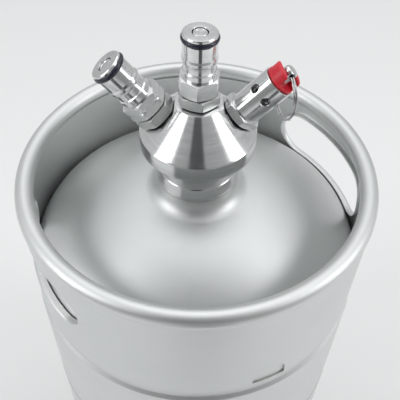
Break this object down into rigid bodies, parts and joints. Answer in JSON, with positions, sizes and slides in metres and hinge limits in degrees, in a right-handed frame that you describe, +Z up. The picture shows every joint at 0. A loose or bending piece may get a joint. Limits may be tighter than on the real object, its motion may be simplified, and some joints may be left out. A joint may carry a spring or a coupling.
{
  "type": "beer keg",
  "caption": "Domed stainless beer keg with rolled chimes, hand holes and a screw-on tapping cap carrying beer and gas posts and a pull-ring relief valve.",
  "frame": {"origin": "on the floor, on the keg's axis", "axes": "+Z up along the keg's axis; the relief valve leans towards +X and the gas post towards -X"},
  "size_m": [0.2184, 0.2184, 0.4423],
  "materials": {
    "satin_steel": "satin, fine sheet-rolled grain",
    "weld": "ground weld",
    "neck_steel": "turned, fine rings",
    "polished_steel": "polished, turned",
    "tube_steel": "drawn tube",
    "spring_steel": "bright drawn wire",
    "black_rubber": "matte",
    "navy_rubber": "glossy, lubricated",
    "white_silicone": "matte",
    "red_plastic": "moulded, slightly glossy"
  },
  "bodies": {
    "keg": {"top_chime": "satin_steel", "upper_shell": "satin_steel", "lower_shell": "satin_steel", "bottom_chime": "satin_steel", "middle_weld": "weld", "top_chime_weld": "weld", "bottom_chime_weld": "weld", "neck_collar": "neck_steel", "neck_weld": "weld"},
    "cap_lift": {"cap_gasket": "white_silicone"},
    "cap": {"tap_cap": "polished_steel", "beer_washer": "black_rubber", "beer_adapter": "polished_steel", "beer_post": "polished_steel", "beer_post_seal": "navy_rubber", "beer_tube": "tube_steel", "beer_tube_seal": "black_rubber", "beer_spring": "spring_steel", "gas_washer": "black_rubber", "gas_adapter": "polished_steel", "gas_post": "polished_steel", "gas_post_seal": "navy_rubber", "gas_tube": "tube_steel", "gas_tube_seal": "black_rubber", "gas_spring": "spring_steel", "relief_washer": "black_rubber", "relief_body": "polished_steel", "relief_spring": "spring_steel"},
    "beer_poppet_body": {"beer_poppet": "polished_steel", "beer_poppet_seal": "black_rubber"},
    "gas_poppet_body": {"gas_poppet": "polished_steel", "gas_poppet_seal": "black_rubber"},
    "relief_pin": {"relief_stem": "polished_steel", "relief_seal": "black_rubber", "relief_knob": "red_plastic"},
    "ring_body": {"pull_ring": "spring_steel"}
  },
  "joints": [
    {"name": "cap_rise", "type": "slide", "parent": "keg", "child": "cap_lift", "axis": [0, 0, 1], "range_m": [0, 0.0096]},
    {"name": "cap_unscrew", "type": "hinge", "parent": "cap_lift", "child": "cap", "pos_m": [0, 0, 0.3755], "axis": [0, 0, 1], "range_deg": [0, 1080]},
    {"name": "beer_poppet_press", "type": "slide", "parent": "cap", "child": "beer_poppet_body", "axis": [0, 0, -1], "range_m": [0, 0.003], "stiffness_N_per_m": 300, "springref_m": -0.005, "deforming": ["beer_spring"]},
    {"name": "gas_poppet_press", "type": "slide", "parent": "cap", "child": "gas_poppet_body", "axis": [0.6225, 0, -0.7826], "range_m": [0, 0.003], "stiffness_N_per_m": 300, "springref_m": -0.005, "deforming": ["gas_spring"]},
    {"name": "relief_pull", "type": "slide", "parent": "cap", "child": "relief_pin", "axis": [0.6626, 0, 0.749], "range_m": [0, 0.003], "stiffness_N_per_m": 500, "springref_m": -0.006, "deforming": ["relief_spring"]},
    {"name": "ring_swing", "type": "hinge", "parent": "relief_pin", "child": "ring_body", "pos_m": [0.04728, 0, 0.41766], "axis": [0.2588, -0.9659, 0], "range_deg": [-1, 44]}
  ],
  "couplings": [
    {"joint": "cap_rise", "follows": "cap_unscrew", "m_per_rad": 0.00050532}
  ]
}
